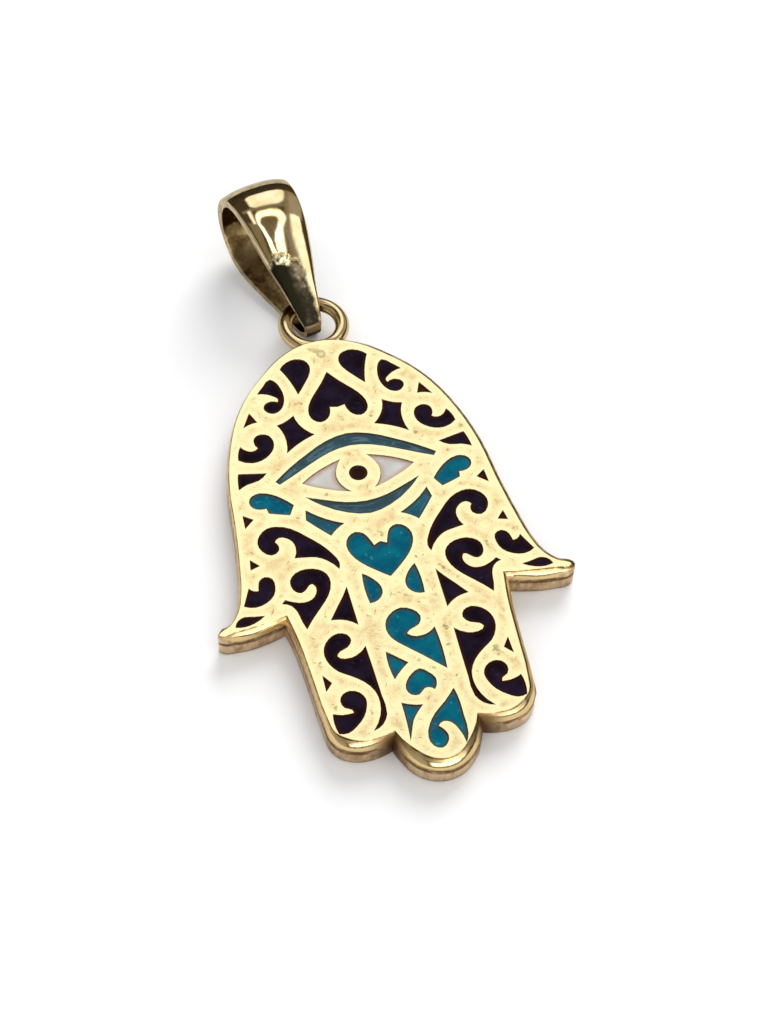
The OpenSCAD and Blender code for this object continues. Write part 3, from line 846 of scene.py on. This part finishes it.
# %% Sort the bail's faces
OUTSIDE, INSIDE, SIDE = 0, 1, 2
bail = copy_of("bail", "bail_loop", shiny, inner_gold, side_gold)
work = open_mesh(bail)
bmesh.ops.join_triangles(
    work, faces=work.faces, cmp_seam=False, cmp_sharp=False, cmp_uvs=False, cmp_vcols=False,
    cmp_materials=False, angle_face_threshold=math.radians(60), angle_shape_threshold=math.radians(180)
)
loop_again = BVHTree.FromBMesh(work)
for face in work.faces:
    middle = face.calc_center_median()
    if abs(face.normal.dot(bail_across)) > 0.8:
        face.material_index = SIDE
    elif loop_again.ray_cast(middle + face.normal * 0.05 * MM, face.normal)[0]:
        face.material_index = INSIDE
    else:
        face.material_index = OUTSIDE
print("bail faces outside, inside, side:", [
    sum(f.material_index == k for f in work.faces) for k in (OUTSIDE, INSIDE, SIDE)
])

# %% [markdown]
# ## The bail: soft edges and a fuller bend
#
# The edges of the narrow sides get a small bevel. The front leaf bulges slightly and the upper bend is
# lifted a little, because the real loop was bent round a rod and not folded. A subdivision surface then
# rounds the two crests and makes the loop flow.

# %% Dress the bail
LEAF_LOW, LEAF_HIGH = -1.28, 3.6  # mm from the hinge, where the front leaf's bulge starts and ends
LEAF_BULGE = 0.16  # mm
LEAF_SLOPE = math.radians(41.4)
leaf_out = -math.sin(LEAF_SLOPE) * bail_along + math.cos(LEAF_SLOPE) * Vector((0, 0, 1))
TOP_LIFT = 0.08  # mm, how much fuller the real loop's upper bend is
TOP_FROM, TOP_FULL = 3.0, 4.2  # mm from the hinge, where the lift starts and is full


def is_side_edge(edge):
    """Whether an edge runs along the bail between two kinds of face."""
    runs_along = abs((edge.verts[0].co - edge.verts[1].co).normalized().dot(bail_across)) < 0.6
    return runs_along and len({f.material_index for f in edge.link_faces}) == 2


def mm_along(point):
    """How far a point lies from the hinge along the bail, in mm."""
    return (point - hinge_at).dot(bail_along) / MM


print("edges softened:", soften(work, 0.035 * MM, 20, is_side_edge))
leaf_faces = [f for f in work.faces if f.material_index == OUTSIDE and f.normal.z > 0.3]
bulged = 0
for v in each_once(v for f in leaf_faces for v in f.verts):
    share = (mm_along(v.co) - LEAF_LOW) / (LEAF_HIGH - LEAF_LOW)
    if 0 < share < 1 and all(f.material_index == OUTSIDE for f in v.link_faces):
        v.co += leaf_out * LEAF_BULGE * MM * math.sin(math.pi * share) ** 2
        bulged += 1
work.normal_update()
lifts = {}
for v in each_once(v for f in work.faces if f.material_index == OUTSIDE for v in f.verts):
    share = min(share_of(mm_along(v.co), TOP_FROM, TOP_FULL), v.co.z / MM - 1.0)
    if share > 0:
        lifts[v] = v.normal * TOP_LIFT * MM * share
for v, lift in lifts.items():
    v.co += lift
print("leaf points raised:", bulged, "points of the upper bend lifted:", len(lifts))
close_mesh(work, bail, 80)
flow = bail.modifiers.new("flowing loop", "SUBSURF")
flow.levels = flow.render_levels = 2

# %% [markdown]
# ## The table
#
# The pendant lies on a plain white surface. In the gold's mirror images it is a little darker and warmer
# than to the eye, as the shaded paper beside a piece is.

# %% Make the table
PAPER, PAPER_IN_MIRRORS = (0.95, 0.95, 0.95), (0.66, 0.60, 0.53)
work = bmesh.new()
bmesh.ops.create_grid(work, x_segments=1, y_segments=1, size=1.2)
table_mesh = bpy.data.meshes.new("table_top")
work.to_mesh(table_mesh)
work.free()
table_top = bpy.data.objects.new("table_top", table_mesh)
scene.collection.objects.link(table_top)
paper, tree, shader, place = new_material("white_paper")
path = add_node(tree, "ShaderNodeLightPath")
seen = mix_colours(tree, path.outputs["Is Glossy Ray"], PAPER, PAPER_IN_MIRRORS)
tree.links.new(seen, shader.inputs["Base Color"])
shader.inputs["Roughness"].default_value = 0.9
shader.inputs["Specular IOR Level"].default_value = 0.0
table_mesh.materials.append(paper)
print("table in m:", [round(v, 2) for v in table_top.dimensions])

# %% [markdown]
# ## The studio
#
# Metal shows its surroundings, so a studio is made of bright panels and dark gaps. Here the surroundings
# are part of the world: for matt surfaces it is an even white tent, and for mirrors it holds the panels.
# A panel's place is given as on a map: how far it goes over the top, from the horizon in front of the
# finger ends (0) to the horizon behind the bail (180), and how far it reaches to the left and right. The
# window is a drop with a dark card in it, which gives the bail its drop-shaped highlight.

# %% Surroundings
PANELS = [  # over the top from and to, left end, right end, brightness
    (34, 48, -0.02, 0.50, 1.90),  # lower part of the window in front
    (10, 34, -0.50, 0.60, 2.20),  # its sill, which the finger ends' rims mirror
    (84, 108, -0.29, -0.17, 1.10),  # a slit to its left
    (20, 86, -0.50, -0.10, 0.16),  # dim wall under that
    (106, 113, -0.45, 0.42, 0.18),  # tan lath between window and ceiling
    (20, 150, 0.43, 0.54, 0.20),  # dim wall beside them
    (14, 94, 0.54, 0.82, 1.20),  # tall panel on the right
    (94, 150, 0.54, 0.90, 0.28),  # its end towards the back
    (-10, 190, -1.20, -0.62, 0.30),  # dim wall on the left
]
CEILING = (113, 150, -0.15, 0.43, 1.08)  # soft ceiling behind, with round corners, which the face mirrors
# Window and card: half width, where the round top starts and ends, where the point would be, brightness or
# share.
WINDOW = (0.27, 84, 104, 5, 2.30)
CARD = (0.19, 82, 95, 48, 0.93)
WINDOW_SILL = (46, 50)  # the window ends here, above its point
DROP_MIDDLE, DROP_LEAN = 0.149, 0.0014  # its middle at 94 degrees, and how it moves right for each degree less
GLOOM = 0.055  # brightness of the gaps
SOFT_TURN, SOFT_REACH = 5.0, 0.08  # soft edges of the panels

world = bpy.data.worlds.new("studio")
scene.world = world
world.use_nodes = True
tree = world.node_tree
tree.nodes.clear()
direction = add_node(tree, "ShaderNodeTexCoord").outputs["Generated"]
split = add_node(tree, "ShaderNodeSeparateXYZ", None, Vector=direction)
forward = maths(tree, "MULTIPLY", split.outputs[1], -1.0)
over = maths(tree, "MULTIPLY", maths(tree, "ARCTAN2", split.outputs[2], forward), math.degrees(1))
sideways = split.outputs[0]


def panel(low, high, left_end, right_end, brightness):
    """A soft-edged panel on the map of the surroundings."""
    turn, reach = SOFT_TURN / 2, SOFT_REACH / 2
    return product(
        tree, band(tree, over, low - turn, low + turn, high - turn, high + turn),
        band(tree, sideways, left_end - reach, left_end + reach, right_end - reach, right_end + reach),
        brightness
    )


def reach_of(first, second, power):
    """1 on the border of a rounded shape, less inside, from the shares of its two half sizes."""
    parts = [maths(tree, "POWER", maths(tree, "ABSOLUTE", part), power) for part in (first, second)]
    return maths(tree, "POWER", maths(tree, "ADD", *parts), 1 / power)


def rounded_panel(low, high, left_end, right_end, brightness):
    """A panel with round corners."""
    middle, half = (left_end + right_end) / 2, (right_end - left_end) / 2
    along = maths(tree, "DIVIDE", maths(tree, "SUBTRACT", sideways, middle), half)
    up = maths(tree, "DIVIDE", maths(tree, "SUBTRACT", over, (low + high) / 2), (high - low) / 2)
    return maths(tree, "MULTIPLY", ramp(tree, reach_of(along, up, 4), 1.12, 0.90), brightness)


def drop(half, top_from, top_to, point, brightness):
    """A panel in the shape of a drop with a round top, whose point leans to the right."""
    middle = maths(tree, "MULTIPLY_ADD", maths(tree, "SUBTRACT", 94, over), DROP_LEAN, DROP_MIDDLE)
    width = maths(tree, "MULTIPLY", maths(tree, "SUBTRACT", over, point), half / (top_from - point))
    width = maths(tree, "MAXIMUM", maths(tree, "MINIMUM", width, half), 0.001)
    along = maths(tree, "DIVIDE", maths(tree, "SUBTRACT", sideways, middle), width)
    up = maths(tree, "DIVIDE", maths(tree, "SUBTRACT", over, top_from), top_to - top_from)
    up = maths(tree, "MAXIMUM", up, 0.0)
    return maths(tree, "MULTIPLY", ramp(tree, reach_of(along, up, 2.5), 1.15, 0.85), brightness)


glow = maths(tree, "ADD", rounded_panel(*CEILING), GLOOM)
glow = maths(tree, "ADD", glow, product(tree, drop(*WINDOW), ramp(tree, over, *WINDOW_SILL)))
for one in PANELS:
    glow = maths(tree, "ADD", glow, panel(*one))
glow = product(tree, glow, maths(tree, "SUBTRACT", 1.0, drop(*CARD)))
warmth = mix_colours(tree, ramp(tree, glow, 0.05, 0.60), (1.0, 0.74, 0.48), (1.0, 0.985, 0.96))
mirrored = add_node(tree, "ShaderNodeBackground", None, Color=warmth, Strength=glow)
TENT = 0.80
tent = add_node(tree, "ShaderNodeBackground", None, Color=(0.995, 0.995, 1.0), Strength=TENT)
path = add_node(tree, "ShaderNodeLightPath")
choose = tree.nodes.new("ShaderNodeMixShader")
tree.links.new(path.outputs["Is Glossy Ray"], choose.inputs[0])
tree.links.new(tent.outputs[0], choose.inputs[1])
tree.links.new(mirrored.outputs[0], choose.inputs[2])
output = tree.nodes.new("ShaderNodeOutputWorld")
tree.links.new(choose.outputs[0], output.inputs[0])
print("panels in the studio:", len(PANELS) + 2)

# %% [markdown]
# ## The lamp
#
# One very soft sun from the back right lights the table evenly and lays a short shadow towards the front
# left. Mirrors don't see it, because the panels already stand for what the gold shows.

# %% Make the lamp
SUN_FROM = Vector((0.45, 0.75, 0.50))
lamp_data = bpy.data.lights.new("soft_sun", "SUN")
lamp_data.energy = 2.4
lamp_data.angle = math.radians(40)
lamp = bpy.data.objects.new("soft_sun", lamp_data)
scene.collection.objects.link(lamp)
lamp.rotation_euler = SUN_FROM.to_track_quat("Z", "Y").to_euler()
lamp.visible_glossy = False
scene.view_settings.view_transform = "Standard"
scene.view_settings.look = "None"
scene.view_settings.exposure = 0.0
print("sun's height in degrees:", round(math.degrees(math.atan2(SUN_FROM.z, SUN_FROM.xy.length)), 1))
